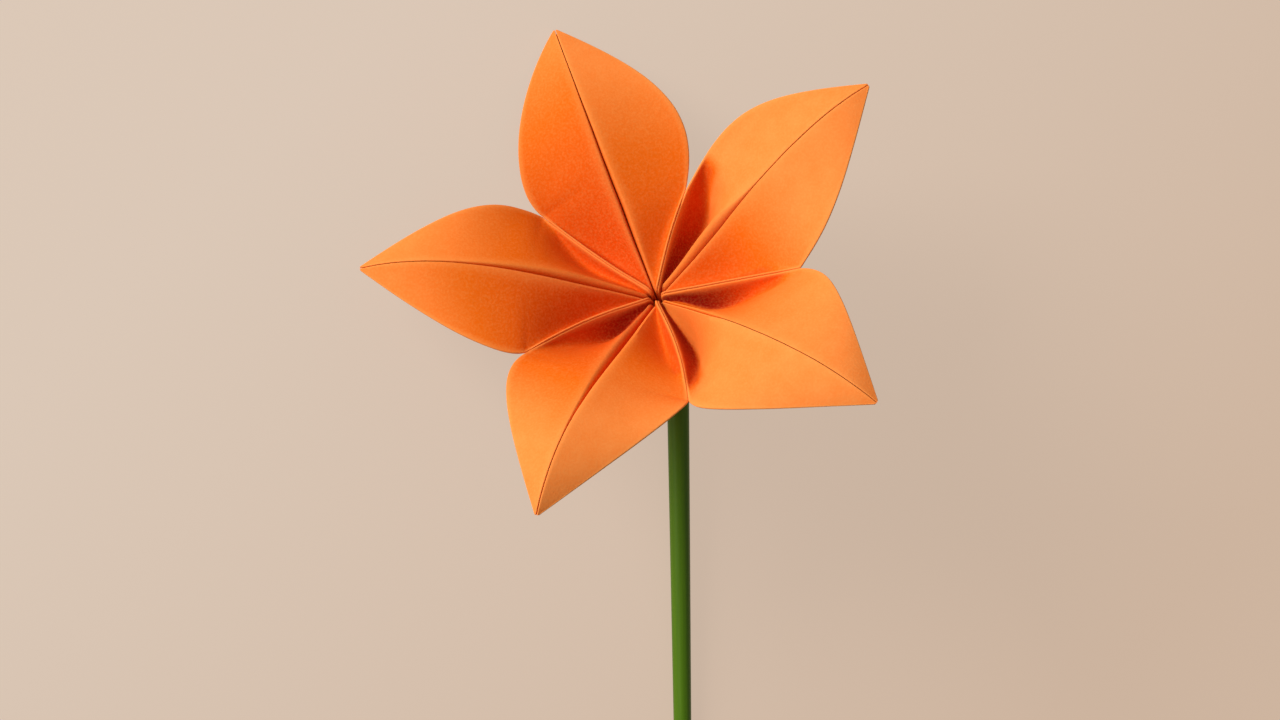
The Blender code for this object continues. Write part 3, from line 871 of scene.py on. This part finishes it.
# Painted shade: the dark red is strongest at a wall's foot and weaker towards the ridge.
lit = add_node(petal_tree, "ShaderNodeMapRange",
               {"Value": flap_share, "From Min": RED_SHADE_FADES, "To Min": 1.0, "To Max": RIDGE_RED_SHADE},
               interpolation_type="SMOOTHSTEP")
glow = add_node(petal_tree, "ShaderNodeMath", {0: wall_part, 1: lit}, operation="MULTIPLY")
pocket = add_node(petal_tree, "ShaderNodeMath", {0: glow, 1: rail["pocket"]},
                  operation="MULTIPLY")
print("with the marks:", len(petal_tree.nodes), "nodes")

# %% [markdown]
# Named attributes keep the marks on the mesh, where the paper's material finds them. The
# grid's own UV map goes along, as it is the sheet unfolded. The tree ends by realizing
# what it made and giving it its material.

# %% Keep the marks and finish the petal
marked = shaped
for name, value in (("crease", crease), ("deep", deep), ("pocket", pocket)):
    marked = add_node(petal_tree, "GeometryNodeStoreNamedAttribute",
                      {"Geometry": marked, "Name": name, "Value": value}, data_type="FLOAT")
mapped = add_node(petal_tree, "GeometryNodeStoreNamedAttribute",
                  {"Geometry": marked, "Name": "UVMap", "Value": sheet.outputs["UV Map"]},
                  data_type="FLOAT2", domain="CORNER")
smooth = add_node(petal_tree, "GeometryNodeSetShadeSmooth", {"Geometry": mapped})
real = add_node(petal_tree, "GeometryNodeRealizeInstances", {"Geometry": smooth})
finished = add_node(petal_tree, "GeometryNodeSetMaterial",
                    {"Geometry": real, "Material": given["Paper"]})
add_node(petal_tree, "NodeGroupOutput", {"Petal": finished})
print("folded petal:", len(petal_tree.nodes), "nodes")

# %% [markdown]
# ## From a tree to a plain mesh
# A modifier's inputs are set by the identifier that Blender gives each socket. The result is
# then made a plain mesh, so nothing has to be worked out again. The sheet gets its thickness
# from Solidify in the same step.


# %% Run a tree on a start mesh
SHARP_FROM = math.radians(50.0)


def grow(name, start, group, values, thickness=None):
    piece = bpy.data.objects.new(name, start)
    bpy.context.scene.collection.objects.link(piece)
    modifier = piece.modifiers.new("tree", "NODES")
    modifier.node_group = group
    sockets = {item.name: item.identifier for item in group.interface.items_tree
               if item.in_out == "INPUT"}
    for key, value in values.items():
        modifier[sockets[key]] = value
    if thickness is not None:
        sheet_paper = piece.modifiers.new("paper", "SOLIDIFY")
        sheet_paper.thickness = thickness
        sheet_paper.offset = 0.0
    graph = bpy.context.evaluated_depsgraph_get()
    mesh = bpy.data.meshes.new_from_object(piece.evaluated_get(graph))
    piece.modifiers.clear()
    piece.data = mesh
    mesh.name = name
    mesh.set_sharp_from_angle(angle=SHARP_FROM)
    return piece


# %% [markdown]
# ## Five petals
# Every petal is grown by the same tree from its own rails, then stands for its plain one.

# %% Grow the petals
LIP_DEPTH = 1.9
WAVINESS = 0.0004
WAVE_LENGTH = 0.016
WAVE_SEED = 7

for index, petal in enumerate(PETALS):
    turn = FLOWER_SPIN + math.radians(petal["turn"]) - index * SECTOR
    place = FLOWER @ Matrix.Rotation(turn, 4, "Z")
    values = {
        "Stations": STATIONS, "Sideways": place.to_3x3() @ Vector((0.0, 1.0, 0.0)),
        "Fold radius": FOLD_RADIUS, "Flap cup": FLAP_CUP, "Back gap": BACK_GAP,
        "Slit": SLIT, "Lip depth": LIP_DEPTH, "Waviness": WAVINESS,
        "Wave length": WAVE_LENGTH, "Seed": WAVE_SEED, "Paper": orange_paper,
    }
    piece = grow(f"petal_{index + 1}_folded", petal_rails(index, place), petal_tree, values, PAPER)
    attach(piece, "root")
    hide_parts(f"petal_{index + 1}")
    print(piece.name, len(piece.data.polygons), "faces")

# %% [markdown]
# ## The stem
# The stem runs straight from its cut end to the bend and then up into the gathered petals.
# Its route is a chain of points that carry the stem's radius, and Curve to Mesh sweeps a
# circle along them. It tapers a little, as the photo shows.


# %% The stem's route
def stem_radius(run):
    share = min(max(run / STEM_LENGTH, 0.0), 1.0)
    return (STEM_TOP_DIAMETER + (STEM_END_DIAMETER - STEM_TOP_DIAMETER) * share) / 2


STRAIGHT_POINTS = 40
BEND_POINTS = 32
STEM_CLEARANCE = 0.0003
top = BEND_CORNER + FLOWER_AXIS * (NECK_LENGTH - BASE_DEPTH - STEM_CLEARANCE)
down = (STEM_END - BEND_CORNER).normalized()
turn = down.angle(FLOWER_AXIS)
tangent = STEM_BEND_RADIUS / math.tan(turn / 2)
middle = BEND_CORNER + (down + FLOWER_AXIS).normalized() * (STEM_BEND_RADIUS / math.sin(turn / 2))
bend_start = BEND_CORNER + down * tangent
bend_end = BEND_CORNER + FLOWER_AXIS * tangent
sweep = (bend_start - middle).angle(bend_end - middle)
route = []
for step in range(STRAIGHT_POINTS):
    share = step / STRAIGHT_POINTS
    point = STEM_END.lerp(bend_start, share)
    route.append((point, stem_radius((point - BEND_CORNER).length)))
for step in range(BEND_POINTS + 1):
    share = step / BEND_POINTS
    arm = (bend_start - middle) * math.sin((1 - share) * sweep)
    arm += (bend_end - middle) * math.sin(share * sweep)
    route.append((middle + arm / math.sin(sweep), stem_radius(tangent)))
route.append((top, stem_radius(tangent)))
print("stem route:", len(route), "points")

# %% [markdown]
# A paper stem is a strip wound tightly to a thin round stick. A cylinder could be bent by a
# modifier, but a circle swept along a route keeps the bend round, and the radius that each
# point carries gives the taper.

# %% A circle swept along the route
STEM_SIDES = 48

stem_tree = bpy.data.node_groups.new("Tapered stem", "GeometryNodeTree")
stem_tree.is_modifier = True
for name, kind in (("Route", "NodeSocketGeometry"), ("Sides", "NodeSocketInt"),
                   ("Paper", "NodeSocketMaterial")):
    stem_tree.interface.new_socket(name, in_out="INPUT", socket_type=kind)
stem_tree.interface.new_socket("Stem", in_out="OUTPUT", socket_type="NodeSocketGeometry")
given = add_node(stem_tree, "NodeGroupInput").outputs
path = add_node(stem_tree, "GeometryNodeMeshToCurve", {"Mesh": given["Route"]})
ring = add_node(stem_tree, "GeometryNodeCurvePrimitiveCircle",
                {"Resolution": given["Sides"], "Radius": 1.0})
girth = add_node(stem_tree, "GeometryNodeInputNamedAttribute", {"Name": "girth"},
                 data_type="FLOAT")
swept = add_node(stem_tree, "GeometryNodeCurveToMesh",
                 {"Curve": path, "Profile Curve": ring, "Scale": girth, "Fill Caps": True})
smooth = add_node(stem_tree, "GeometryNodeSetShadeSmooth", {"Geometry": swept})
real = add_node(stem_tree, "GeometryNodeRealizeInstances", {"Geometry": smooth})
finished = add_node(stem_tree, "GeometryNodeSetMaterial",
                    {"Geometry": real, "Material": given["Paper"]})
add_node(stem_tree, "NodeGroupOutput", {"Stem": finished})

chain = bpy.data.meshes.new("stem_wound")
chain.from_pydata([point for point, _ in route], [(i, i + 1) for i in range(len(route) - 1)], [])
add_attribute(chain, "girth", "FLOAT", [radius for _, radius in route])
stem = grow("stem_wound", chain, stem_tree, {"Sides": STEM_SIDES, "Paper": green_paper})
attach(stem, "root")
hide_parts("stem")
print(stem.name, len(stem.data.polygons), "faces")

# %% [markdown]
# ## The camera
# A cut lily can't stand unheld, so it lies on the table and the camera looks down on it. It
# looks straight at the throat from 0.64 m and leans over by the angles below, and a small
# shift puts the throat where the picture has it, above the middle.

# %% Camera
CAMERA_LEAN = FLOWER_ROLL + math.radians(12.13)
CAMERA_TWIST = math.radians(0.9)
CAMERA_DISTANCE = 0.6379
FIELD_OF_VIEW = math.radians(24.0)
IMAGE_SIZE = (1280, 720)
THROAT_PIXEL = (655.5, 296.4)

leaning = Matrix.Rotation(CAMERA_LEAN, 4, "Y") @ Matrix.Rotation(-CAMERA_TWIST, 4, "Z")
toward = leaning.to_3x3() @ Vector((0.0, 0.0, 1.0))
lens = bpy.data.cameras.new("camera")
lens.angle = FIELD_OF_VIEW
lens.shift_x = (IMAGE_SIZE[0] / 2 - THROAT_PIXEL[0]) / IMAGE_SIZE[0]
lens.shift_y = (THROAT_PIXEL[1] - IMAGE_SIZE[1] / 2) / IMAGE_SIZE[0]
camera = bpy.data.objects.new("camera", lens)
camera.matrix_world = Matrix.Translation(THROAT + toward * CAMERA_DISTANCE) @ leaning
bpy.context.scene.collection.objects.link(camera)
bpy.context.scene.camera = camera
print("camera at", [round(value, 3) for value in camera.matrix_world.translation])

# %% [markdown]
# ## Table and light
# The table is plain, pale and warm. Its colour is painted a little lighter towards the side
# that the light comes from, a painted fall-off of light. To the eye of the camera four fifths
# of it glow with its own colour, so the lily's shadow stays there but stays light.

# %% The pale table
TABLE_SIZE = 3.0
TABLE_FALLOFF_SPAN = 0.16
TABLE_LIFT = 0.80
TABLE_FALLOFF_COLOURS = ("E0CDBC", "D8BEA8")
TABLE_ROUGHNESS = 0.9
TABLE_SHEEN = 0.2

table_paint, tree, shader = new_material("pale beige table, matt")
shader.inputs["Roughness"].default_value = TABLE_ROUGHNESS
shader.inputs["Specular IOR Level"].default_value = TABLE_SHEEN
place = add_node(tree, "ShaderNodeTexCoord").outputs["Object"]
apart = add_node(tree, "ShaderNodeSeparateXYZ", {"Vector": place})
slope = add_node(tree, "ShaderNodeMath", {0: apart.outputs["X"], 1: apart.outputs["Y"]},
                 operation="SUBTRACT")
# Painted light: the colour fades from lighter on the lamp's side to darker on the far side.
painted_falloff = add_node(tree, "ShaderNodeMapRange",
                {"Value": slope, "From Min": -TABLE_FALLOFF_SPAN, "From Max": TABLE_FALLOFF_SPAN})
falloff_painted_colour = add_node(tree, "ShaderNodeMix",
                 {0: painted_falloff, 6: colour(TABLE_FALLOFF_COLOURS[0]), 7: colour(TABLE_FALLOFF_COLOURS[1])},
                 data_type="RGBA")
tree.links.new(next(out for out in falloff_painted_colour.outputs if out.enabled), shader.inputs["Base Color"])
seen = add_node(tree, "ShaderNodeLightPath").outputs
mirrored = add_node(tree, "ShaderNodeMath",
                    {0: seen["Is Glossy Ray"], 1: seen["Is Transmission Ray"]}, operation="ADD")
looked_at = add_node(tree, "ShaderNodeMath", {0: seen["Is Camera Ray"], 1: mirrored},
                     operation="ADD")
lifted = add_node(tree, "ShaderNodeMath", {0: looked_at, 1: TABLE_LIFT}, operation="MULTIPLY")
glow = add_node(tree, "ShaderNodeEmission", {"Color": falloff_painted_colour, "Strength": 1.0})
both = add_node(tree, "ShaderNodeMixShader", {0: lifted, 1: shader, 2: glow})
tree.links.new(both.outputs[0], tree.nodes["Material Output"].inputs["Surface"])
corner = TABLE_SIZE / 2
board = bpy.data.meshes.new("table")
board.from_pydata([(-corner, -corner, 0.0), (corner, -corner, 0.0), (corner, corner, 0.0),
                   (-corner, corner, 0.0)], [], [(0, 1, 2, 3)])
board.materials.append(table_paint)
table = bpy.data.objects.new("table", board)
bpy.context.scene.collection.objects.link(table)
print("table:", TABLE_SIZE, "m wide")

# %% [markdown]
# One large lamp, high on the left, gives soft shadows, as a curtained window would. An even
# pale world fills them, at a level where a colour renders about as it is written.

# %% A soft lamp and an even sky
LAMP_DISTANCE = 1.6
LAMP_SIZE = 0.9
LAMP_POWER = 29.0
LAMP_COLOUR = (1.0, 0.965, 0.92)
LAMP_SIDE = (-0.62, 0.45, 0.64)
SKY_LEVEL = 0.22
SKY_COLOUR = (1.0, 0.975, 0.945, 1.0)

source = leaning.to_3x3() @ Vector(LAMP_SIDE).normalized()
lamp = bpy.data.lights.new("soft lamp", "AREA")
lamp.shape = "DISK"
lamp.size = LAMP_SIZE
lamp.energy = LAMP_POWER
lamp.color = LAMP_COLOUR
lamp_stand = bpy.data.objects.new("soft lamp", lamp)
lamp_stand.matrix_world = (Matrix.Translation(THROAT + source * LAMP_DISTANCE)
                           @ source.to_track_quat("Z", "Y").to_matrix().to_4x4())
bpy.context.scene.collection.objects.link(lamp_stand)

world = bpy.data.worlds.new("even sky")
world.use_nodes = True
sky = world.node_tree.nodes["Background"]
sky.inputs["Color"].default_value = SKY_COLOUR
sky.inputs["Strength"].default_value = SKY_LEVEL
bpy.context.scene.world = world
bpy.context.scene.view_settings.view_transform = "Standard"
print("lamp at", [round(value, 2) for value in lamp_stand.matrix_world.translation])
